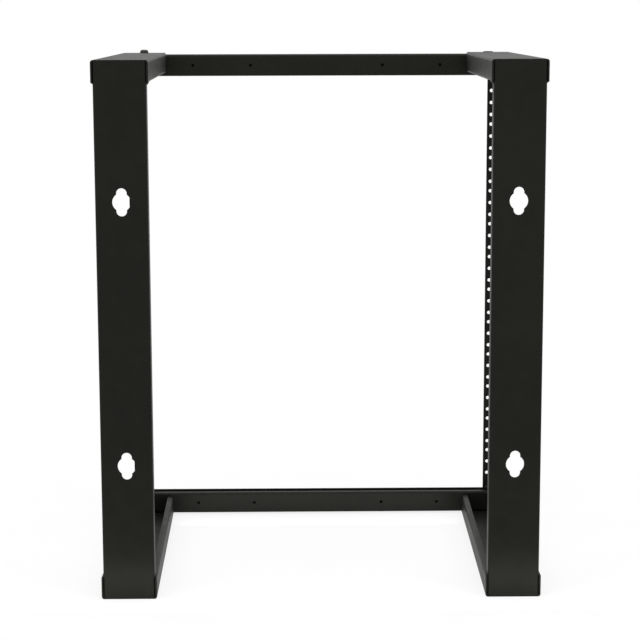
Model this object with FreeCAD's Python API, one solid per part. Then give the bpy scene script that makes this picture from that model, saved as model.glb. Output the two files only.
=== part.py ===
import FreeCAD, Part
import math
import os

# Wall mount open frame rack, 12 rack units, in millimetres.
# The front is at -Y, the wall plane at +Y, and the bottom arms stand on Z = 0.
# Two side frames (post and two arms each) are welded, and a front ring
# (two bars with the rails welded to their front) is screwed between them.

# Driving dimensions of the whole rack
OVERALL_HEIGHT = 622.3
OVERALL_DEPTH = 393.7
WALL_HOLE_SPACING_X = 447.7
WALL_HOLE_SPACING_Z = 304.8

# Steel sheet and its folds
SHEET = 2.0
BEND_INSIDE = 1.0
BEND_OUTSIDE = BEND_INSIDE + SHEET
FIT_GAP = 0.2

# Wall posts: channels with the web against the wall
POST_WIDTH = 59.8
POST_DEPTH = 15.9
POST_CORNER_CUT = 1.4
KEYHOLE_MIDDLE_D = 21.0
KEYHOLE_SLOT_W = 12.0
KEYHOLE_HEIGHT = 31.8

# Arms: lipped channels, open to the inside of the rack at top and bottom
ARM_HEIGHT = 25.4
ARM_TAPER = 5.0
ARM_LIP = 7.5
LIP_TO_POST_GAP = 3.0
FLANGE_TO_BAR_GAP = 0.3

# Cross bars: channels with one folded lip, open to the middle of the rack
BAR_HEIGHT = 28.0
BAR_DEPTH = 22.0
BAR_LIP = 7.5
BAR_END_GAP = 0.5
BAR_HOLE_D = 4.0
BAR_HOLE_INNER_X = 86.4
BAR_HOLE_OUTER_X = 162.0

# Rack rails to EIA-310
RACK_UNITS = 12
UNIT_HEIGHT = 44.45
HOLE_OFFSETS = (6.35, 22.225, 38.1)
RAIL_HOLE_SPACING_X = 465.1
RAIL_HOLE_D = 5.0
RAIL_EDGE_TO_HOLE = 5.5
RAIL_TO_LIP_GAP = 0.3
RAIL_LEG = 25.0

# Corner screws, M6: pan heads, and one low head at top left
SCREW_D = 6.0
SCREW_CLEARANCE = 0.3
WASHER_TO_BEND_GAP = 0.2
HEAD_D = 11.0
HEAD_HEIGHT = 4.2
HEAD_EDGE_HEIGHT = 2.4
HEAD_TOP_D = 7.4
LOW_HEAD_D = 13.0
LOW_HEAD_HEIGHT = 1.2
LOW_HEAD_EDGE_HEIGHT = 0.6
LOW_HEAD_TOP_D = 9.6
SCREW_POINT = 1.5
NUT_FLATS = 10.0
NUT_HEIGHT = 5.0
NUT_CHAMFER = 0.6
WASHER_D = 11.8
WASHER_THICK = 1.2
THREAD_CLEARANCE = 0.05

# Weld beads
BEAD_LEG = 2.6
BEAD_BULGE = 0.5
POST_BEAD_FROM_WALL = 3.2
POST_BEAD_LENGTH = 11.5
POST_BEAD_WIDTH = 2.1
RAIL_BEAD_LENGTH = 11.0
RAIL_BEAD_FROM_EDGE = 2.5

# Places worked out from the dimensions above
WALL_Y = OVERALL_DEPTH / 2
FRONT_Y = -OVERALL_DEPTH / 2
POST_X = WALL_HOLE_SPACING_X / 2
ARM_TAPER_AT_POST = ARM_TAPER * POST_DEPTH / OVERALL_DEPTH
ARM_OUTER_X = POST_X + POST_WIDTH / 2 + FIT_GAP + SHEET
ARM_INNER_X = POST_X - POST_WIDTH / 2 - FIT_GAP - SHEET - ARM_TAPER_AT_POST
BAR_FRONT_Y = FRONT_Y + SHEET
BAR_REAR_Y = BAR_FRONT_Y + BAR_DEPTH
BAR_WEB_Z = SHEET
BAR_EDGE_Z = BAR_WEB_Z + BAR_HEIGHT
RAIL_HOLE_X = RAIL_HOLE_SPACING_X / 2
RAIL_INNER_X = RAIL_HOLE_X - RAIL_EDGE_TO_HOLE
RAIL_OUTER_X = ARM_OUTER_X - ARM_LIP - RAIL_TO_LIP_GAP
BAR_END_X = RAIL_OUTER_X - BEND_OUTSIDE - BAR_END_GAP
NUT_SEAT_Z = BAR_WEB_Z + SHEET
SCREW_X = (ARM_INNER_X + ARM_TAPER + ARM_OUTER_X) / 2
SCREW_Y = BAR_FRONT_Y + BEND_OUTSIDE + WASHER_TO_BEND_GAP + WASHER_D / 2
SCREW_HOLE_D = SCREW_D + 2 * SCREW_CLEARANCE

X_AXIS = FreeCAD.Vector(1, 0, 0)
Y_AXIS = FreeCAD.Vector(0, 1, 0)
Z_AXIS = FreeCAD.Vector(0, 0, 1)
ORIGIN = FreeCAD.Vector(0, 0, 0)


def vec(x, y, z):
    return FreeCAD.Vector(x, y, z)


def folded_wire(line, to_space):
    """Closed outline of a sheet folded along a line of outside corners.

    line holds (a, b) corners of the sheet's outer face, turning left at each
    fold, so that the sheet lies on the left of the line. to_space places an
    (a, b) point in space.
    """
    count = len(line)
    steps = []
    for index in range(count - 1):
        da = line[index + 1][0] - line[index][0]
        db = line[index + 1][1] - line[index][1]
        size = math.hypot(da, db)
        steps.append((da / size, db / size))

    def side(offset, radius):
        """Runs and arcs of one face, as (start, end) or (start, mid, end)."""
        pieces = []
        a, b = line[0]
        here = (a - steps[0][1] * offset, b + steps[0][0] * offset)
        for index in range(1, count - 1):
            a, b = line[index]
            before = steps[index - 1]
            after = steps[index]
            corner = (a - before[1] * offset - after[1] * offset,
                      b + before[0] * offset + after[0] * offset)
            start = (corner[0] - before[0] * radius, corner[1] - before[1] * radius)
            end = (corner[0] + after[0] * radius, corner[1] + after[1] * radius)
            centre = (start[0] + after[0] * radius, start[1] + after[1] * radius)
            reach = radius / math.sqrt(2)
            mid = (centre[0] + (before[0] - after[0]) * reach,
                   centre[1] + (before[1] - after[1]) * reach)
            pieces.append((here, start))
            pieces.append((start, mid, end))
            here = end
        a, b = line[-1]
        last = (a - steps[-1][1] * offset, b + steps[-1][0] * offset)
        pieces.append((here, last))
        return pieces

    outer = side(0.0, BEND_OUTSIDE)
    inner = side(SHEET, BEND_INSIDE)
    inner_back = [tuple(reversed(piece)) for piece in reversed(inner)]
    outline = outer + [(outer[-1][-1], inner_back[0][0])]
    outline += inner_back + [(inner_back[-1][-1], outer[0][0])]
    edges = []
    for piece in outline:
        points = [to_space(a, b) for a, b in piece]
        if len(points) == 2:
            edges.append(Part.LineSegment(points[0], points[1]).toShape())
        else:
            edges.append(Part.Arc(points[0], points[1], points[2]).toShape())
    return Part.Wire(edges)


def block(x0, x1, y0, y1, z0, z1):
    return Part.makeBox(x1 - x0, y1 - y0, z1 - z0, vec(x0, y0, z0))


def drill(diameter, length, base, direction):
    return Part.makeCylinder(diameter / 2, length, base, direction)


def mirrored_x(shape):
    return shape.mirror(ORIGIN, X_AXIS)


def mirrored_z(shape):
    return shape.mirror(vec(0, 0, OVERALL_HEIGHT / 2), Z_AXIS)


def keyhole(z):
    """Round middle with a lobe above and below, through the post's web."""
    depth = 3 * SHEET
    start_y = WALL_Y - 2 * SHEET
    half_run = (KEYHOLE_HEIGHT - KEYHOLE_SLOT_W) / 2
    cutter = drill(KEYHOLE_MIDDLE_D, depth, vec(POST_X, start_y, z), Y_AXIS)
    half_w = KEYHOLE_SLOT_W / 2
    run = block(POST_X - half_w, POST_X + half_w, start_y, start_y + depth,
                z - half_run, z + half_run)
    cutter = cutter.fuse(run)
    for end_z in (z - half_run, z + half_run):
        cutter = cutter.fuse(drill(KEYHOLE_SLOT_W, depth, vec(POST_X, start_y, end_z), Y_AXIS))
    return cutter.removeSplitter()


def make_post():
    """Right wall post: a channel whose ends stand inside the two arms."""
    bottom = SHEET
    top = OVERALL_HEIGHT - SHEET
    half = POST_WIDTH / 2
    front = WALL_Y - POST_DEPTH
    line = [(POST_X - half, front), (POST_X - half, WALL_Y), (POST_X + half, WALL_Y),
            (POST_X + half, front)]
    line.reverse()
    wire = folded_wire(line, lambda a, b: vec(a, b, bottom))
    channel = Part.Face(wire).extrude(vec(0, 0, top - bottom))
    cut = POST_CORNER_CUT
    outline = [(-half + cut, bottom), (half - cut, bottom), (half, bottom + cut), (half, top - cut),
               (half - cut, top), (-half + cut, top), (-half, top - cut), (-half, bottom + cut)]
    points = [vec(POST_X + x, front, z) for x, z in outline]
    points.append(points[0])
    plate = Part.Face(Part.makePolygon(points)).extrude(vec(0, POST_DEPTH, 0))
    post = channel.common(plate)
    for sign in (-1, 1):
        post = post.cut(keyhole(OVERALL_HEIGHT / 2 + sign * WALL_HOLE_SPACING_Z / 2))
    return post.removeSplitter()


def arm_side(line, run):
    """One folded side of a bottom arm, from its section at the wall along a run."""
    return Part.Face(folded_wire(line, lambda a, b: vec(a, WALL_Y, b))).extrude(run)


def arm_web():
    """Flat floor of a bottom arm between its bends, narrower at the front."""
    rear_x = ARM_INNER_X + BEND_OUTSIDE
    outer_x = ARM_OUTER_X - BEND_OUTSIDE
    points = [vec(rear_x, WALL_Y, 0), vec(outer_x, WALL_Y, 0), vec(outer_x, FRONT_Y, 0),
              vec(rear_x + ARM_TAPER, FRONT_Y, 0), vec(rear_x, WALL_Y, 0)]
    return Part.Face(Part.makePolygon(points)).extrude(vec(0, 0, SHEET))


def flange_end(x, run):
    """Square top edge of an arm flange beside the post, where it has no lip."""
    low = ARM_HEIGHT - BEND_OUTSIDE
    points = [vec(x, WALL_Y, low), vec(x + SHEET, WALL_Y, low), vec(x + SHEET, WALL_Y, ARM_HEIGHT),
              vec(x, WALL_Y, ARM_HEIGHT), vec(x, WALL_Y, low)]
    return Part.Face(Part.makePolygon(points)).extrude(run)


def make_bottom_arm():
    """Right bottom arm, narrower at the front, cut out for post and bar."""
    front_inner_x = ARM_INNER_X + ARM_TAPER
    straight = vec(0, -OVERALL_DEPTH, 0)
    slant = vec(ARM_TAPER, -OVERALL_DEPTH, 0)
    inner = arm_side([(ARM_INNER_X + ARM_LIP, ARM_HEIGHT), (ARM_INNER_X, ARM_HEIGHT),
                      (ARM_INNER_X, 0), (ARM_INNER_X + ARM_LIP, 0)], slant)
    outer = arm_side([(ARM_OUTER_X - ARM_LIP, 0), (ARM_OUTER_X, 0), (ARM_OUTER_X, ARM_HEIGHT),
                      (ARM_OUTER_X - ARM_LIP, ARM_HEIGHT)], straight)
    arm = inner.fuse([arm_web(), outer])

    # The lips stop short of the post, and the flanges go on beside it.
    lip_end_y = WALL_Y - POST_DEPTH - LIP_TO_POST_GAP
    lip_zone = block(ARM_INNER_X - SHEET, ARM_OUTER_X + SHEET, lip_end_y, WALL_Y + SHEET,
                     ARM_HEIGHT - BEND_OUTSIDE, ARM_HEIGHT + SHEET)
    arm = arm.cut(lip_zone)
    share = (WALL_Y - lip_end_y) / OVERALL_DEPTH
    arm = arm.fuse([flange_end(ARM_INNER_X, slant * share),
                    flange_end(ARM_OUTER_X - SHEET, straight * share)])

    # The inner flange and its lip end at the bar, which stands on the web. The outer
    # flange and its lip run on to the front, beside the rail.
    bar_zone_y = BAR_REAR_Y + FLANGE_TO_BAR_GAP
    flange_zone = block(ARM_INNER_X - SHEET, front_inner_x + BEND_OUTSIDE, FRONT_Y - SHEET,
                        bar_zone_y, -SHEET, ARM_HEIGHT + SHEET)
    lip_zone = block(front_inner_x, front_inner_x + ARM_LIP + SHEET, FRONT_Y - SHEET, bar_zone_y,
                     BAR_WEB_Z + BEND_OUTSIDE, ARM_HEIGHT + SHEET)
    arm = arm.cut(flange_zone).cut(lip_zone)
    return arm.removeSplitter()


def make_bottom_bar():
    """Bottom cross bar: web below, plain front wall, lip on the rear wall."""
    line = [(BAR_FRONT_Y, BAR_EDGE_Z), (BAR_FRONT_Y, BAR_WEB_Z), (BAR_REAR_Y, BAR_WEB_Z),
            (BAR_REAR_Y, BAR_EDGE_Z), (BAR_REAR_Y - BAR_LIP, BAR_EDGE_Z)]
    wire = folded_wire(line, lambda a, b: vec(-BAR_END_X, a, b))
    bar = Part.Face(wire).extrude(vec(2 * BAR_END_X, 0, 0))
    middle_z = BAR_WEB_Z + BAR_HEIGHT / 2
    for x in (BAR_HOLE_INNER_X, BAR_HOLE_OUTER_X):
        for side in (-x, x):
            base = vec(side, BAR_REAR_Y - 2 * SHEET, middle_z)
            bar = bar.cut(drill(BAR_HOLE_D, 3 * SHEET, base, Y_AXIS))
    return bar


def make_rail():
    """Right rack rail: an angle at the very front, three tapped holes in each unit."""
    line = [(RAIL_INNER_X, FRONT_Y), (RAIL_OUTER_X, FRONT_Y), (RAIL_OUTER_X, FRONT_Y + RAIL_LEG)]
    wire = folded_wire(line, lambda a, b: vec(a, b, SHEET))
    rail = Part.Face(wire).extrude(vec(0, 0, OVERALL_HEIGHT - 2 * SHEET))
    first_unit_z = (OVERALL_HEIGHT - RACK_UNITS * UNIT_HEIGHT) / 2
    holes = []
    for unit in range(RACK_UNITS):
        for offset in HOLE_OFFSETS:
            z = first_unit_z + unit * UNIT_HEIGHT + offset
            base = vec(RAIL_HOLE_X, FRONT_Y - SHEET, z)
            holes.append(drill(RAIL_HOLE_D, 3 * SHEET, base, Y_AXIS))
    return rail.cut(Part.makeCompound(holes))


def screw_at_origin(length, head_d, top_d, head_height, edge_height):
    """Screw along Z: the head's seat is at 0, its rim is chamfered, the shank is below."""
    radius = SCREW_D / 2
    corners = [(0, -length), (radius, -length), (radius, 0), (head_d / 2, 0),
               (head_d / 2, edge_height), (top_d / 2, head_height), (0, head_height), (0, -length)]
    outline = Part.makePolygon([vec(r, 0, z) for r, z in corners])
    return Part.Face(outline).revolve(ORIGIN, Z_AXIS, 360)


def pan_screw(length):
    return screw_at_origin(length, HEAD_D, HEAD_TOP_D, HEAD_HEIGHT, HEAD_EDGE_HEIGHT)


def low_screw(length):
    return screw_at_origin(length, LOW_HEAD_D, LOW_HEAD_TOP_D, LOW_HEAD_HEIGHT, LOW_HEAD_EDGE_HEIGHT)


def washer_at_origin():
    """Flat washer lying on Z = 0."""
    disc = Part.makeCylinder(WASHER_D / 2, WASHER_THICK)
    return disc.cut(Part.makeCylinder(SCREW_HOLE_D / 2, WASHER_THICK))


def nut_at_origin():
    """Hexagon nut standing on Z = 0, with its corners turned down."""
    corner_r = NUT_FLATS / 2 / math.cos(math.pi / 6)
    points = [vec(corner_r * math.cos(math.radians(60 * k)), corner_r * math.sin(math.radians(60 * k)), 0)
              for k in range(7)]
    hexagon = Part.Face(Part.makePolygon(points)).extrude(vec(0, 0, NUT_HEIGHT))
    middle = Part.makeCylinder(corner_r, NUT_HEIGHT - 2 * NUT_CHAMFER, vec(0, 0, NUT_CHAMFER))
    lower = Part.makeCone(corner_r - 2 * NUT_CHAMFER, corner_r, NUT_CHAMFER)
    upper = Part.makeCone(corner_r, corner_r - 2 * NUT_CHAMFER, NUT_CHAMFER,
                          vec(0, 0, NUT_HEIGHT - NUT_CHAMFER))
    turned = hexagon.common(lower.fuse(middle).fuse(upper))
    return turned.cut(Part.makeCylinder(SCREW_D / 2 + THREAD_CLEARANCE, NUT_HEIGHT))


def bead(corner, leg_a, leg_b, run):
    """Fillet weld: two legs from a corner, a rounded face, drawn along a run."""
    tip_a = corner + leg_a
    tip_b = corner + leg_b
    out = (leg_a + leg_b).normalize()
    crown = (tip_a + tip_b) * 0.5 + out * BEAD_BULGE
    edges = [Part.LineSegment(corner, tip_a).toShape(),
             Part.Arc(tip_a, crown, tip_b).toShape(),
             Part.LineSegment(tip_b, corner).toShape()]
    return Part.Face(Part.Wire(edges)).extrude(run)


def make_post_beads():
    """Beads of the right bottom joint: one each side of the post."""
    run = vec(0, -POST_BEAD_LENGTH, 0)
    start_y = WALL_Y - POST_BEAD_FROM_WALL
    half = POST_WIDTH / 2
    beads = []
    for sign in (-1, 1):
        corner = vec(POST_X + sign * half, start_y, ARM_HEIGHT)
        beads.append(bead(corner, vec(sign * POST_BEAD_WIDTH, 0, 0), vec(0, 0, BEAD_LEG), run))
    return beads


def make_rail_bead():
    """Bead on the bottom bar's bare front edge, against the right rail's rear face."""
    corner = vec(RAIL_INNER_X + RAIL_BEAD_FROM_EDGE, BAR_FRONT_Y, BAR_EDGE_Z)
    return bead(corner, vec(0, SHEET, 0), vec(0, 0, BEAD_LEG), vec(RAIL_BEAD_LENGTH, 0, 0))


def both_sides(shape):
    return [shape, mirrored_x(shape)]


def save(name, solids):
    if not isinstance(solids, list):
        solids = [solids]
    solids = [solid for shape in solids for solid in shape.Solids]
    shape = solids[0] if len(solids) == 1 else Part.makeCompound(solids)
    if not shape.isValid():
        raise ValueError(name + " is not a valid shape")
    shape.exportStep("parts/" + name + ".step")
    box = shape.BoundBox
    print(name, len(solids), "volume", round(shape.Volume, 1),
          "x", round(box.XMin, 2), round(box.XMax, 2), "y", round(box.YMin, 2), round(box.YMax, 2),
          "z", round(box.ZMin, 2), round(box.ZMax, 2))


def main():
    os.makedirs("parts", exist_ok=True)

    post = make_post()
    save("post_right", post)
    save("post_left", mirrored_x(post))

    bottom_arm = make_bottom_arm()
    top_arm = mirrored_z(bottom_arm)

    # Bottom arms are tapped for screws driven from inside, top arms are drilled.
    low = vec(SCREW_X, SCREW_Y, -SHEET)
    bottom_arm = bottom_arm.cut(drill(SCREW_D + 2 * THREAD_CLEARANCE, 3 * SHEET, low, Z_AXIS))
    high = vec(SCREW_X, SCREW_Y, OVERALL_HEIGHT - 2 * SHEET)
    top_arm = top_arm.cut(drill(SCREW_HOLE_D, 3 * SHEET, high, Z_AXIS))
    save("bottom_arm_right", bottom_arm)
    save("bottom_arm_left", mirrored_x(bottom_arm))
    save("top_arm_right", top_arm)
    save("top_arm_left", mirrored_x(top_arm))

    bar = make_bottom_bar()
    for x in (-SCREW_X, SCREW_X):
        bar = bar.cut(drill(SCREW_HOLE_D, 3 * SHEET, vec(x, SCREW_Y, 0), Z_AXIS))
    save("bottom_bar", bar)
    save("top_bar", mirrored_z(bar))

    rail = make_rail()
    save("rail_right", rail)
    save("rail_left", mirrored_x(rail))

    # The bottom screws end flush with the underside, so the rack stands flat.
    seat_z = NUT_SEAT_Z + WASHER_THICK
    bottom_screw = pan_screw(seat_z)
    bottom_screw.translate(vec(SCREW_X, SCREW_Y, seat_z))
    save("bottom_corner_screws", both_sides(bottom_screw))
    bottom_washer = washer_at_origin()
    bottom_washer.translate(vec(SCREW_X, SCREW_Y, NUT_SEAT_Z))
    save("bottom_corner_washers", both_sides(bottom_washer))

    # The top screws point down through arm and bar into a washer and a nut.
    grip = 2 * SHEET + WASHER_THICK + NUT_HEIGHT + SCREW_POINT
    tall_screw = pan_screw(grip)
    tall_screw.translate(vec(SCREW_X, SCREW_Y, OVERALL_HEIGHT))
    save("top_corner_screw_right", tall_screw)
    flat_screw = low_screw(grip)
    flat_screw.translate(vec(-SCREW_X, SCREW_Y, OVERALL_HEIGHT))
    save("top_corner_screw_left", flat_screw)
    top_washer = washer_at_origin()
    washer_z = OVERALL_HEIGHT - NUT_SEAT_Z - WASHER_THICK
    top_washer.translate(vec(SCREW_X, SCREW_Y, washer_z))
    save("top_corner_washers", both_sides(top_washer))
    nut = nut_at_origin()
    nut.translate(vec(SCREW_X, SCREW_Y, washer_z - NUT_HEIGHT))
    save("top_corner_nuts", both_sides(nut))

    beads = make_post_beads()
    save("post_welds_bottom_right", beads)
    save("post_welds_bottom_left", [mirrored_x(one) for one in beads])
    save("post_welds_top_right", [mirrored_z(one) for one in beads])
    save("post_welds_top_left", [mirrored_x(mirrored_z(one)) for one in beads])

    rail_bead = make_rail_bead()
    save("rail_welds_bottom", both_sides(rail_bead))
    save("rail_welds_top", both_sides(mirrored_z(rail_bead)))


main()
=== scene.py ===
import math
from collections import namedtuple
import bmesh
import bpy
from mathutils import Matrix, Vector


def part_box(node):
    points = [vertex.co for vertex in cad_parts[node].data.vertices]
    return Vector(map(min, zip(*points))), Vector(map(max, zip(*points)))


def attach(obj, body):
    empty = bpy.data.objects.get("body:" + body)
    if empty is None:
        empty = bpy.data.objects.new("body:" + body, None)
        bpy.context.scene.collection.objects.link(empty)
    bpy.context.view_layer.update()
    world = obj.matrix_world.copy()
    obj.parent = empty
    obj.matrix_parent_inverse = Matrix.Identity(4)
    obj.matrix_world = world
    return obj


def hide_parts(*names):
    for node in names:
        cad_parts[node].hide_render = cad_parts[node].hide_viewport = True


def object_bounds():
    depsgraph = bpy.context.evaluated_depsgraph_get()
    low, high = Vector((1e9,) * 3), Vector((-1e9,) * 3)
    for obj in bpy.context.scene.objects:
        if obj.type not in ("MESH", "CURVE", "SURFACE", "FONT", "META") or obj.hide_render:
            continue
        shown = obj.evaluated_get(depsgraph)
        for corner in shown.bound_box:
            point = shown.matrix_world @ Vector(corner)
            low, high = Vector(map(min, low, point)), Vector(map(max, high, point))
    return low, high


# Wall mount open frame rack: powder-coated folded steel, looked at from the wall side.
# Metres, in the frame of the solids: the front is at -Y, the wall plane at +Y, Z is up.

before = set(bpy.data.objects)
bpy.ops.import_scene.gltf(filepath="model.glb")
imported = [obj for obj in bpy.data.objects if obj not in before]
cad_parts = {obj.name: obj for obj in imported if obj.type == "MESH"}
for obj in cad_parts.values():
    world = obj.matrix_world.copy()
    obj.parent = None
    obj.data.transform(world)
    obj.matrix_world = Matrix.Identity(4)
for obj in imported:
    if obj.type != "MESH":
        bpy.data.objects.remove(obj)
solid_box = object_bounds()

MM = 0.001

# Folded sheets
SHEET = 2.0 * MM
COATED_EDGE = 0.2 * MM
COATED_EDGE_STEPS = 2
FLAT_ANGLE = math.radians(0.6)
CUT_EDGE_ANGLE = math.radians(50)
SHEET_MERGE = 0.002 * MM
SAME_PLACE = 0.001 * MM

# Rack rails
RAIL_HOLE_X = 232.55 * MM
RAIL_HOLE_R = 2.5 * MM
RACK_UNITS = 12
UNIT_HEIGHT = 44.45 * MM
HOLE_OFFSETS = (6.35 * MM, 22.225 * MM, 38.1 * MM)
THREAD_STEP = 0.8 * MM
THREAD_FLANK = 0.42 * THREAD_STEP
THREAD_RIDGE = 0.22 * MM
THREAD_BURIED = 0.12 * MM
THREAD_SIDES = 20

# Corner screws
SCREW_R = 3.0 * MM
SCREW_CREST_R = SCREW_R * 0.985
SCREW_ROOT_R = 2.55 * MM
SCREW_NECK_R = SCREW_R * 0.93
SCREW_NECK = 0.3 * MM
SCREW_PITCH = 1.0 * MM
SCREW_POINT = 0.7 * MM
SCREW_POINT_R = SCREW_ROOT_R * 0.86
SCREW_LAST_R = SCREW_R * 0.97
SCREW_SIDES = 48
HEAD_SEAT_SHARE = 0.96
HEAD_ROUND_SHARE = 0.14
DOME_STEPS = 7
CROSS_TAPER = 0.45

Head = namedtuple("Head", "rim_r rim_height flat_r cross_reach cross_width cross_depth")
DOMED_HEAD = Head(5.5 * MM, 1.3 * MM, 2.3 * MM, 2.5 * MM, 0.62 * MM, 2.1 * MM)
LOW_HEAD = Head(6.5 * MM, 0.45 * MM, 4.2 * MM, 2.4 * MM, 0.6 * MM, 0.9 * MM)

# Weld beads: swellings are shares of the bead's full section
WELD_SIDES = 14
WELD_RIPPLE = 1.15 * MM
WELD_START = 0.35
WELD_END = 0.3
WELD_RUN_IN = 0.13
WELD_CREST = 0.985
WELD_DIP = 0.87
BEAD_FILL = 0.97
OUTER_BEAD_FILL = 0.6
BEAD_END_GAP = 0.4 * MM
POST_BEAD_WIDTH = 2.1 * MM
RAIL_BEAD_LENGTH = 11.0 * MM

FRONT_Y = solid_box[0].y
RACK_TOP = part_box("top_arm_right")[1].z


# Modelling

def only(piece):
    """Makes one piece the active and only selected one."""
    bpy.ops.object.select_all(action="DESELECT")
    piece.select_set(True)
    bpy.context.view_layer.objects.active = piece


def pick_faces(piece, wanted):
    """Selects, in edit mode, the faces that wanted(face) is true for."""
    bpy.ops.mesh.select_mode(type="FACE")
    bpy.ops.mesh.select_all(action="DESELECT")
    mesh = bmesh.from_edit_mesh(piece.data)
    for face in mesh.faces:
        face.select = bool(wanted(face))
    mesh.select_flush_mode()
    bmesh.update_edit_mesh(piece.data)


def apply_place(piece):
    """Puts a selected piece's place, turn and scale into its mesh."""
    bpy.ops.object.transform_apply(location=True, rotation=True, scale=True)
    return piece


def settle(piece, degrees):
    """Puts the place into the mesh, merges doubles, turns faces outwards, smooths bends."""
    only(piece)
    apply_place(piece)
    bpy.ops.object.mode_set(mode="EDIT")
    bpy.ops.mesh.select_all(action="SELECT")
    bpy.ops.mesh.remove_doubles(threshold=SAME_PLACE)
    bpy.ops.mesh.normals_make_consistent(inside=False)
    bpy.ops.object.mode_set(mode="OBJECT")
    bpy.ops.object.shade_smooth_by_angle(angle=math.radians(degrees))


def joined(pieces, name):
    """One piece of several, under a new name."""
    bpy.ops.object.select_all(action="DESELECT")
    for piece in pieces:
        piece.select_set(True)
    bpy.context.view_layer.objects.active = pieces[0]
    bpy.ops.object.join()
    pieces[0].name = name
    return pieces[0]


def copied(piece, move):
    """A copy with its own mesh, moved."""
    twin = piece.copy()
    twin.data = piece.data.copy()
    bpy.context.scene.collection.objects.link(twin)
    twin.location = twin.location + Vector(move)
    return twin


def turned_stack(steps, centre, sides):
    """A turned form: a disc drawn up through (radius, height) steps, closed at both ends."""
    radius, height = steps[0]
    bpy.ops.object.select_all(action="DESELECT")
    bpy.ops.mesh.primitive_circle_add(vertices=sides, radius=radius, fill_type="NGON",
                                      location=centre + Vector((0, 0, height)))
    piece = apply_place(bpy.context.object)
    bpy.ops.object.mode_set(mode="EDIT")
    bpy.ops.mesh.select_mode(type="FACE")
    bpy.ops.mesh.select_all(action="SELECT")
    for next_radius, next_height in steps[1:]:
        rise = next_height - height
        bpy.ops.mesh.extrude_region_move(TRANSFORM_OT_translate={"value": (0, 0, rise)})
        factor = next_radius / radius
        middle = centre + Vector((0, 0, next_height))
        bpy.ops.transform.resize(value=(factor, factor, 1), center_override=middle)
        radius, height = next_radius, next_height
    bpy.ops.object.mode_set(mode="OBJECT")
    return piece


def cross_cutter(centre, reach, width, depth):
    """Tapered cross that the driver fits, to be cut from a head."""
    arms = []
    for size in ((reach, width), (width, reach)):
        bpy.ops.object.select_all(action="DESELECT")
        bpy.ops.mesh.primitive_cube_add(size=1, location=centre)
        arm = bpy.context.object
        arm.scale = (size[0] * 2, size[1] * 2, depth * 2)
        apply_place(arm)
        bpy.ops.object.mode_set(mode="EDIT")
        pick_faces(arm, lambda face: face.normal.z < -0.9)
        bpy.ops.transform.resize(value=(CROSS_TAPER, CROSS_TAPER, 1), center_override=centre)
        bpy.ops.object.mode_set(mode="OBJECT")
        arms.append(arm)
    return arms


def cut_away(piece, cutters):
    """Cuts the cutters from a piece and removes them."""
    for cutter in cutters:
        only(piece)
        change = piece.modifiers.new("recess", "BOOLEAN")
        change.operation = "DIFFERENCE"
        change.solver = "EXACT"
        change.object = cutter
        bpy.ops.object.modifier_apply(modifier=change.name)
        bpy.data.objects.remove(cutter)


def thread_steps(top, bottom):
    """Turned thread down a shank: crest and root by turns, with a short point."""
    steps = []
    height = top
    while height - SCREW_PITCH > bottom + SCREW_PITCH:
        steps.append((SCREW_CREST_R, height))
        steps.append((SCREW_ROOT_R, height - SCREW_PITCH / 2))
        height -= SCREW_PITCH
    steps.append((SCREW_CREST_R, height))
    steps.append((SCREW_LAST_R, bottom + SCREW_POINT))
    steps.append((SCREW_POINT_R, bottom))
    return steps


def head_dome(head, top):
    """Rounded shoulder from the rim of a head up to its flat middle."""
    steps = []
    for index in range(1, DOME_STEPS + 1):
        turn = math.pi / 2 * index / DOME_STEPS
        radius = head.flat_r + (head.rim_r - head.flat_r) * math.cos(turn)
        height = head.rim_height + (top - head.rim_height) * math.sin(turn)
        steps.append((radius, height))
    return steps


def make_screw(name, seat, length, top, head):
    """Cross-recess screw, point down: its head goes from the seat up by top."""
    steps = list(reversed(thread_steps(-2 * SCREW_NECK, -length)))
    steps += [(SCREW_NECK_R, -SCREW_NECK), (SCREW_NECK_R, 0),
              (head.rim_r * HEAD_SEAT_SHARE, 0),
              (head.rim_r, head.rim_height * HEAD_ROUND_SHARE), (head.rim_r, head.rim_height)]
    steps += head_dome(head, top)
    screw = turned_stack(steps, seat, SCREW_SIDES)
    screw.name = name
    settle(screw, 40)
    middle = seat + Vector((0, 0, top))
    cut_away(screw, cross_cutter(middle, head.cross_reach, head.cross_width, head.cross_depth))
    settle(screw, 30)
    return screw


def make_weld(start, run, across, rise):
    """Rippled fillet bead on a corner: across and rise are its half widths."""
    along = run.normalized()
    count = max(4, round(run.length / (WELD_RIPPLE / 2)))
    bpy.ops.object.select_all(action="DESELECT")
    bpy.ops.mesh.primitive_circle_add(vertices=WELD_SIDES, radius=1, fill_type="NGON",
                                      location=(0, 0, 0))
    bead = bpy.context.object
    turn = Matrix((Vector(across), Vector(rise), along)).transposed().to_4x4()
    bead.data.transform(Matrix.Translation(start) @ turn)
    bpy.ops.object.mode_set(mode="EDIT")
    bpy.ops.mesh.select_mode(type="FACE")
    bpy.ops.mesh.select_all(action="SELECT")
    bpy.ops.transform.resize(value=(WELD_START,) * 3, center_override=start)
    swell_before = WELD_START
    for index in range(1, count + 1):
        share = index / count
        run_in = min(share, 1 - share, WELD_RUN_IN) / WELD_RUN_IN
        swell = WELD_START + (1 - WELD_START) * math.sin(math.pi / 2 * run_in)
        swell *= WELD_CREST if index % 2 else WELD_DIP
        if index == count:
            swell = WELD_END
        step = along * (run.length / count)
        bpy.ops.mesh.extrude_region_move(TRANSFORM_OT_translate={"value": step})
        bpy.ops.transform.resize(value=(swell / swell_before,) * 3,
                                 center_override=start + run * share)
        swell_before = swell
    bpy.ops.object.mode_set(mode="OBJECT")
    settle(bead, 60)
    return bead


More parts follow.
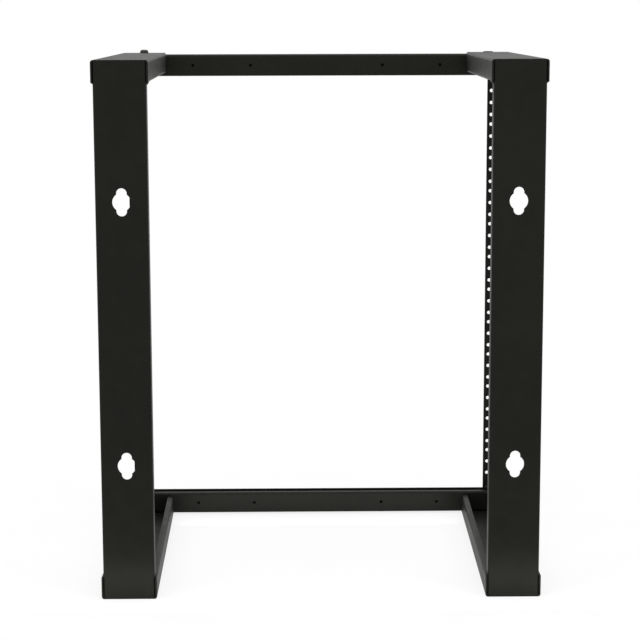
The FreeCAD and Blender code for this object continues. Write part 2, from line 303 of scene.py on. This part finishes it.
def make_thread_turn(middle):
    """One ridge round a tapped hole whose middle line goes through middle, along Y."""
    bpy.ops.object.select_all(action="DESELECT")
    bpy.ops.mesh.primitive_circle_add(vertices=THREAD_SIDES, radius=RAIL_HOLE_R + THREAD_BURIED,
                                      fill_type="NOTHING", rotation=(math.pi / 2, 0, 0),
                                      location=middle - Vector((0, THREAD_FLANK, 0)))
    turn = apply_place(bpy.context.object)
    bpy.ops.object.mode_set(mode="EDIT")
    bpy.ops.mesh.select_mode(type="EDGE")
    bpy.ops.mesh.select_all(action="SELECT")
    inward = (RAIL_HOLE_R - THREAD_RIDGE) / (RAIL_HOLE_R + THREAD_BURIED)
    for scale in (inward, 1 / inward):
        bpy.ops.mesh.extrude_region_move(TRANSFORM_OT_translate={"value": (0, THREAD_FLANK, 0)})
        bpy.ops.transform.resize(value=(scale, 1, scale), center_override=middle)
    bpy.ops.mesh.select_all(action="DESELECT")
    bpy.ops.mesh.select_non_manifold()
    bpy.ops.mesh.bridge_edge_loops()
    bpy.ops.object.mode_set(mode="OBJECT")
    return turn


def make_thread_rings(name, side):
    """Thread turns inside the tapped holes of one rail."""
    first_unit = (RACK_TOP - RACK_UNITS * UNIT_HEIGHT) / 2
    first_hole = Vector((side * RAIL_HOLE_X, FRONT_Y + SHEET / 2, first_unit + HOLE_OFFSETS[0]))
    turns = [make_thread_turn(first_hole + Vector((0, offset, 0)))
             for offset in (-THREAD_STEP / 2, THREAD_STEP / 2)]
    one = joined(turns, name)
    settle(one, 50)
    rings = [one]
    for unit in range(RACK_UNITS):
        for offset in HOLE_OFFSETS:
            rise = unit * UNIT_HEIGHT + offset - HOLE_OFFSETS[0]
            if rise > 0:
                rings.append(copied(one, (0, 0, rise)))
    whole = joined(rings, name)
    settle(whole, 50)
    return whole


def coated_sheet(node):
    """The folded sheet of a node with its cut edges rounded over by the coat."""
    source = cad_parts[node]
    sheet = source.copy()
    sheet.data = source.data.copy()
    sheet.name = node + "_coated"
    sheet.parent = None
    bpy.context.scene.collection.objects.link(sheet)
    only(sheet)
    bpy.ops.object.mode_set(mode="EDIT")
    bpy.ops.mesh.select_all(action="SELECT")
    bpy.ops.mesh.remove_doubles(threshold=SHEET_MERGE)
    bpy.ops.mesh.dissolve_limited(angle_limit=FLAT_ANGLE)
    bpy.ops.object.mode_set(mode="OBJECT")
    edge = sheet.modifiers.new("edge", "BEVEL")
    edge.width = COATED_EDGE
    edge.segments = COATED_EDGE_STEPS
    edge.limit_method = "ANGLE"
    edge.angle_limit = CUT_EDGE_ANGLE
    edge.use_clamp_overlap = True
    bpy.ops.object.modifier_apply(modifier=edge.name)
    bpy.ops.object.shade_smooth_by_angle(angle=CUT_EDGE_ANGLE)
    # Large faces keep their own direction, so the bends beside them don't shade them.
    flat = sheet.modifiers.new("flat_sides", "WEIGHTED_NORMAL")
    flat.mode = "FACE_AREA"
    flat.weight = 50
    flat.keep_sharp = True
    bpy.ops.object.modifier_apply(modifier=flat.name)
    return sheet


# Finishes

# Places of the colour sockets on a Mix node, which has sockets of several kinds
MIX_COLOUR_A, MIX_COLOUR_B, MIX_COLOUR_RESULT = 6, 7, 2


class Socket:
    """One output of some nodes, on which Python's arithmetic adds Math nodes."""

    def __init__(self, nodes, output):
        self.nodes = nodes
        self.output = output

    def maths(self, operation, *values):
        return self.nodes.add("ShaderNodeMath", {"operation": operation}, dict(enumerate(values)))

    def __add__(self, other):
        return self.maths("ADD", self, other)

    __radd__ = __add__

    def __sub__(self, other):
        return self.maths("SUBTRACT", self, other)

    def __rsub__(self, other):
        return self.maths("SUBTRACT", other, self)

    def __mul__(self, other):
        return self.maths("MULTIPLY", self, other)

    __rmul__ = __mul__

    def __or__(self, other):
        """Of two masks: where either is set."""
        return self.maths("MAXIMUM", self, other)

    __ror__ = __or__


class Nodes:
    """The nodes of a material or of the world."""

    def __init__(self, owner):
        owner.use_nodes = True
        self.tree = owner.node_tree

    def add(self, kind, settings, values, output=0):
        """One node: its settings are set first, then its sockets' values or links."""
        node = self.tree.nodes.new(kind)
        for name, value in settings.items():
            setattr(node, name, value)
        for name, value in values.items():
            if isinstance(value, Socket):
                self.tree.links.new(value.output, node.inputs[name])
            else:
                node.inputs[name].default_value = value
        return Socket(self, node.outputs[output])

    def seen(self):
        """1 where the background is looked at, straight on or in a gloss or glass."""
        camera, glossy, through = (
            self.add("ShaderNodeLightPath", {}, {}, ray)
            for ray in ("Is Camera Ray", "Is Glossy Ray", "Is Transmission Ray"))
        return camera | glossy | through


class Finish(Nodes):
    """A surface finish, built on one Principled BSDF."""

    def __init__(self, name, constants):
        self.material = bpy.data.materials.new(name)
        super().__init__(self.material)
        self.shader = self.tree.nodes["Principled BSDF"]
        for socket, value in constants.items():
            self.shader.inputs[socket].default_value = value

    def place(self):
        return self.add("ShaderNodeTexCoord", {}, {}, "Object")

    def noise(self, place, scale, detail, rough=0.5):
        return self.add("ShaderNodeTexNoise", {"noise_dimensions": "3D"},
                        {"Vector": place, "Scale": scale, "Detail": detail, "Roughness": rough},
                        "Fac")

    def cells(self, place, scale):
        return self.add("ShaderNodeTexVoronoi", {"feature": "SMOOTH_F1"},
                        {"Vector": place, "Scale": scale, "Smoothness": 0.7}, "Distance")

    def between(self, value, low, high, to_low, to_high):
        """Takes the range low to high over to another one, and stays inside it."""
        return self.add("ShaderNodeMapRange", {"clamp": True},
                        {"Value": value, "From Min": low, "From Max": high,
                         "To Min": to_low, "To Max": to_high}, "Result")

    def blend(self, share, first, second):
        return self.add("ShaderNodeMix", {"data_type": "RGBA", "blend_type": "MIX"},
                        {"Factor": share, MIX_COLOUR_A: first, MIX_COLOUR_B: second},
                        MIX_COLOUR_RESULT)

    def bump(self, height, strength, distance):
        return self.add("ShaderNodeBump", {}, {"Height": height, "Strength": strength,
                                               "Distance": distance}, "Normal")

    def feed(self, socket, value):
        self.tree.links.new(value.output, self.shader.inputs[socket])


def powder_coat(name, dark, light, rough_low, rough_high, specular):
    """Cured powder coat: fine orange peel, slightly uneven sheen, a few dust specks."""
    finish = Finish(name, {"Specular IOR Level": specular, "Metallic": 0.0})
    place = finish.place()
    flow = finish.noise(place, 9.0, 2.0)
    cloud = finish.noise(place, 55.0, 4.0)
    peel = finish.noise(place, 1150.0, 2.0)
    grit = finish.cells(place, 2600.0)
    specks = finish.between(finish.noise(place, 620.0, 1.0), 0.735, 0.80, 0.0, 1.0)
    shade = finish.between(flow * 0.5 + cloud * 0.5, 0.36, 0.66, 0.0, 1.0)
    coat = finish.blend(shade, dark, light)
    finish.feed("Base Color", finish.blend(specks * 0.35, coat, (0.07, 0.07, 0.068, 1.0)))
    sheen = cloud * 0.6 + flow * 0.4
    finish.feed("Roughness", finish.between(sheen, 0.35, 0.68, rough_low, rough_high))
    height = peel * 0.7 + grit * 0.5 + flow * 0.2
    finish.feed("Normal", finish.bump(height, 0.34, 0.06 * MM))
    return finish.material


def black_oxide(name):
    """Blackened screw steel: dark grey-brown, smoother, with handling marks."""
    finish = Finish(name, {"Metallic": 0.55, "Specular IOR Level": 0.4})
    place = finish.place()
    stain = finish.noise(place, 420.0, 4.0, 0.6)
    marks = finish.noise(place, 3200.0, 2.0)
    finish.feed("Base Color", finish.blend(finish.between(stain, 0.35, 0.7, 0.0, 1.0),
                                           (0.012, 0.012, 0.013, 1.0), (0.035, 0.032, 0.030, 1.0)))
    worn = stain * 0.5 + marks * 0.5
    finish.feed("Roughness", finish.between(worn, 0.3, 0.7, 0.28, 0.46))
    finish.feed("Normal", finish.bump(marks * 0.8 + stain * 0.4, 0.3, 0.04 * MM))
    return finish.material


black_coat = powder_coat("black_coat", (0.0066, 0.0065, 0.0048, 1.0), (0.0098, 0.0096, 0.0074, 1.0),
                         rough_low=0.42, rough_high=0.50, specular=0.115)
weld_coat = powder_coat("coated_weld", (0.010, 0.0098, 0.0092, 1.0), (0.016, 0.0157, 0.015, 1.0),
                        rough_low=0.32, rough_high=0.42, specular=0.22)
screw_black = black_oxide("black_screw")


def dress(piece, finish):
    """Gives a new piece its finish and lets it ride along."""
    piece.data.materials.clear()
    piece.data.materials.append(finish)
    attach(piece, "root")


def paint(node, finish):
    """Gives a carried-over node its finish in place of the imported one."""
    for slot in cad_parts[node].material_slots:
        slot.link = "OBJECT"
        slot.material = finish


# The rack's pieces

for node in ("post_right", "post_left", "bottom_arm_right", "bottom_arm_left", "top_arm_right",
             "top_arm_left", "bottom_bar", "top_bar", "rail_right", "rail_left"):
    sheet = coated_sheet(node)
    dress(sheet, black_coat)
    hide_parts(node)
for node in ("bottom_corner_washers", "top_corner_washers", "top_corner_nuts"):
    paint(node, screw_black)

# The two top screws have different heads, as in the photograph
for node, name, head in (("top_corner_screw_right", "screw_top_right", DOMED_HEAD),
                         ("top_corner_screw_left", "screw_top_left", LOW_HEAD)):
    low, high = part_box(node)
    seat = Vector(((low.x + high.x) / 2, (low.y + high.y) / 2, RACK_TOP))
    screw = make_screw(name, seat, RACK_TOP - low.z, high.z - RACK_TOP, head)
    dress(screw, screw_black)
    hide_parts(node)

# The bottom ones stand on washers on the bottom bar's web
low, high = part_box("bottom_corner_screws")
washer_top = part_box("bottom_corner_washers")[1].z
screws = []
for side in (-1, 1):
    seat = Vector((side * (high.x - DOMED_HEAD.rim_r), (low.y + high.y) / 2, washer_top))
    screws.append(make_screw("screw_bottom", seat, washer_top - low.z, high.z - washer_top,
                             DOMED_HEAD))
screws = joined(screws, "screws_bottom")
dress(screws, screw_black)
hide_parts("bottom_corner_screws")


def bead_corner(node):
    """A bead node's box, the height of its corner and the way from there to its free edge."""
    low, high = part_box(node)
    if "top" in node:
        return low, high, high.z, low.z - high.z
    return low, high, low.z, high.z - low.z


# Weld beads between posts and arms: two at each joint, the outer one slimmer
for node in ("post_welds_bottom_right", "post_welds_bottom_left", "post_welds_top_right",
             "post_welds_top_left"):
    low, high, corner_z, rise = bead_corner(node)
    beads = []
    for x, out in ((low.x + POST_BEAD_WIDTH, -POST_BEAD_WIDTH),
                   (high.x - POST_BEAD_WIDTH, POST_BEAD_WIDTH)):
        start = Vector((x, high.y - BEAD_END_GAP, corner_z))
        run = Vector((0, low.y - high.y + 2 * BEAD_END_GAP, 0))
        fill = OUTER_BEAD_FILL if x * out > 0 else BEAD_FILL
        beads.append(make_weld(start, run, (out * BEAD_FILL, 0, 0), (0, 0, rise * fill)))
    beads = joined(beads, node.replace("post_welds", "weld_beads"))
    dress(beads, weld_coat)
    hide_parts(node)

# Weld beads between rails and bars
for node in ("rail_welds_bottom", "rail_welds_top"):
    low, high, corner_z, rise = bead_corner(node)
    across = (0, (high.y - low.y) * BEAD_FILL, 0)
    beads = []
    for side in (-1, 1):
        inner = high.x - RAIL_BEAD_LENGTH
        start = Vector((side * (inner + BEAD_END_GAP), low.y, corner_z))
        run = Vector((side * (RAIL_BEAD_LENGTH - 2 * BEAD_END_GAP), 0, 0))
        beads.append(make_weld(start, run, across, (0, 0, rise * BEAD_FILL)))
    beads = joined(beads, node.replace("rail_welds", "rail_beads"))
    dress(beads, weld_coat)
    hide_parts(node)

for side, name in ((1, "rail_threads_right"), (-1, "rail_threads_left")):
    dress(make_thread_rings(name, side), black_coat)


# Floor and surroundings

WHITE = (1.0, 1.0, 1.0, 1.0)
FLOOR_WIDTH = 30.0
FLOOR_NEAR = 0.55
FLOOR_FAR = 1.3
FLOOR_GLOW_NEAR = 0.80
AMBIENT = 0.5


def white_ground():
    """Pale floor that keeps the rack's shadow and goes over into the white background."""
    finish = Finish("pale_floor", {"Roughness": 0.85, "Specular IOR Level": 0.1})
    place = finish.place()
    grain = finish.noise(place, 40.0, 3.0)
    finish.feed("Base Color", finish.blend(grain, (0.93, 0.93, 0.93, 1.0), (0.97, 0.97, 0.97, 1.0)))
    away = finish.add("ShaderNodeVectorMath", {"operation": "LENGTH"}, {0: place}, "Value")
    glow_share = finish.between(away, FLOOR_NEAR, FLOOR_FAR, FLOOR_GLOW_NEAR, 1.0)
    glow = finish.add("ShaderNodeEmission", {}, {"Color": WHITE, "Strength": 1.0}, "Emission")
    lit = Socket(finish, finish.shader.outputs["BSDF"])
    surface = finish.add("ShaderNodeMixShader", {},
                         {0: finish.seen() * glow_share, 1: lit, 2: glow}, "Shader")
    finish.tree.links.new(surface.output, finish.tree.nodes["Material Output"].inputs["Surface"])
    return finish.material


bpy.ops.object.select_all(action="DESELECT")
bpy.ops.mesh.primitive_plane_add(size=FLOOR_WIDTH, location=(0, 0, 0))
floor = bpy.context.object
floor.name = "floor"
floor.data.materials.append(white_ground())

world = bpy.data.worlds.new("studio")
bpy.context.scene.world = world
air = Nodes(world)
backdrop = air.tree.nodes["Background"]
backdrop.inputs["Color"].default_value = WHITE
strength = 1 - (1 - air.seen()) * (1 - AMBIENT)
air.tree.links.new(strength.output, backdrop.inputs["Strength"])


# Lamps: one above, two on the wall side, two in front, and two faint ones near the floor
# that stand in for the light it throws back on the posts' feet and the bottom bar

RACK_MIDDLE = (0, 0, 0.3)
Lamp = namedtuple("Lamp", "name place target size watts")
LAMPS = (
    Lamp("lamp_over", (0.0, 0.3, 2.6), RACK_MIDDLE, (2.2, 2.2), 34),
    Lamp("lamp_left", (1.8, 1.6, 1.5), RACK_MIDDLE, (1.4, 1.4), 10),
    Lamp("lamp_right", (-1.8, 1.6, 1.5), RACK_MIDDLE, (1.4, 1.4), 10),
    Lamp("lamp_front_left", (1.9, -1.5, 1.6), RACK_MIDDLE, (1.4, 1.4), 9),
    Lamp("lamp_front_right", (-1.9, -1.5, 1.6), RACK_MIDDLE, (1.4, 1.4), 9),
    Lamp("lamp_foot", (0, 0.247, 0.012), (0, 0.19, 0.012), (1.1, 0.016), 0.2),
    Lamp("lamp_bar", (0, -0.115, 0.012), (0, -0.173, 0.014), (0.36, 0.016), 0.06))

for lamp in LAMPS:
    light = bpy.data.lights.new(lamp.name, "AREA")
    light.shape = "RECTANGLE"
    light.size, light.size_y = lamp.size
    light.energy = lamp.watts
    stand = bpy.data.objects.new(lamp.name, light)
    bpy.context.scene.collection.objects.link(stand)
    stand.location = lamp.place
    stand.rotation_mode = "QUATERNION"
    facing = Vector(lamp.target) - Vector(lamp.place)
    stand.rotation_quaternion = facing.to_track_quat("-Z", "Y")
    stand.visible_camera = False


# Camera: on the wall side, a little higher than the rack, turned down by PITCH radians.
# Its turns are given in a plan whose x goes to the picture's right and y away from the camera.

PHOTO_WIDTH = 640
SENSOR = 36.0
FOCAL_PIXELS = 1849.64
YAW, PITCH, ROLL = -0.01274, 0.16359, -0.00256
CAMERA_X = 27.384 * MM
CAMERA_FROM_WALL = 2076.496 * MM
CAMERA_HEIGHT = 671.328 * MM

right = Vector((math.cos(YAW), math.sin(YAW), 0))
ahead = Vector((-math.sin(YAW), math.cos(YAW), 0))
sight = ahead * math.cos(PITCH) - Vector((0, 0, math.sin(PITCH)))
above = Vector((0, 0, math.cos(PITCH))) + ahead * math.sin(PITCH)
tilted_right = right * math.cos(ROLL) + above * math.sin(ROLL)
tilted_up = above * math.cos(ROLL) - right * math.sin(ROLL)


def to_rack(direction):
    """From the camera's plan to the rack's axes."""
    return Vector((-direction.x, -direction.y, direction.z))


lens = bpy.data.cameras.new("camera")
lens.sensor_width = SENSOR
lens.lens = FOCAL_PIXELS * SENSOR / PHOTO_WIDTH
lens.clip_start = 0.05
lens.clip_end = 60
camera = bpy.data.objects.new("camera", lens)
bpy.context.scene.collection.objects.link(camera)
wall_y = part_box("post_right")[1].y
place = Matrix.Translation((CAMERA_X, wall_y + CAMERA_FROM_WALL, CAMERA_HEIGHT))
axes = Matrix((to_rack(tilted_right), to_rack(tilted_up), -to_rack(sight))).transposed()
camera.matrix_world = place @ axes.to_4x4()
bpy.context.scene.camera = camera
bpy.context.scene.view_settings.view_transform = "Standard"
